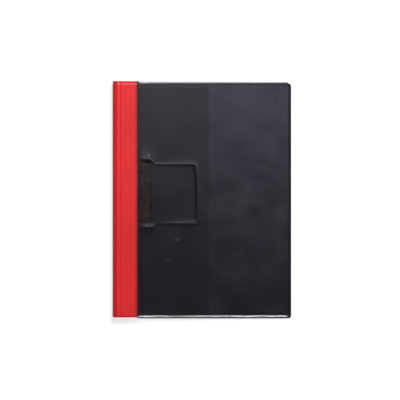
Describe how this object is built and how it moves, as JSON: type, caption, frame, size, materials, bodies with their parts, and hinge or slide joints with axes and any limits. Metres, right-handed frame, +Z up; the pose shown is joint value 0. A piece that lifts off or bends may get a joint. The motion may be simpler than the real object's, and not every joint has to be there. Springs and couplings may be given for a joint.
{
  "type": "clip folder",
  "caption": "Clip folder with a clear front, a red spine strip, a black back cover and a sprung wire-bail clamp for loose sheets.",
  "frame": {"origin": "under the middle of the closed folder, on the surface that its back cover lies on", "axes": "+X from the spine to the fore edge, +Y up the page towards the top edge, +Z up through the front cover"},
  "size_m": [0.2336, 0.31, 0.013],
  "materials": {
    "black_pvc": "smooth soft black sheet welded over board, faint sheen",
    "red_pvc": "soft red sheet with a fine leather-like grain",
    "clear_pvc": "glossy clear flexible sheet",
    "plated_sheet": "plated spring steel sheet, satin",
    "bright_steel": "zinc-plated steel",
    "bail_steel": "dark plated steel wire"
  },
  "bodies": {
    "back": {"back_cover": "black_pvc", "spine_wrap": "red_pvc", "inner_pocket": "clear_pvc", "clip_base": "plated_sheet", "clamp_rod": "bright_steel", "lower_rivet": "bright_steel", "upper_rivet": "bright_steel"},
    "cover": {"front_strip": "red_pvc", "front_film": "clear_pvc"},
    "clamp": {"clamp_plate": "plated_sheet", "lower_spring": "bright_steel", "upper_spring": "bright_steel"},
    "bail": {"bail_wire": "bail_steel"}
  },
  "joints": [
    {"name": "front_cover", "type": "hinge", "parent": "back", "child": "cover", "pos_m": [-0.10725, 0, 0.013], "axis": [0, -1, 0], "range_deg": [0, 180]},
    {"name": "bail_lift", "type": "hinge", "parent": "back", "child": "bail", "pos_m": [-0.07365, 0.0089, 0.0047], "axis": [0, -1, 0], "range_deg": [0, 100]},
    {"name": "clamp_lift", "type": "hinge", "parent": "back", "child": "clamp", "pos_m": [-0.07895, 0.0089, 0.0053], "axis": [0, -1, 0], "range_deg": [0, 50]}
  ],
  "couplings": [
    {"joint": "bail_lift", "follows": "front_cover", "ratio": 0.555},
    {"joint": "clamp_lift", "follows": "front_cover", "ratio": 0.2775}
  ]
}
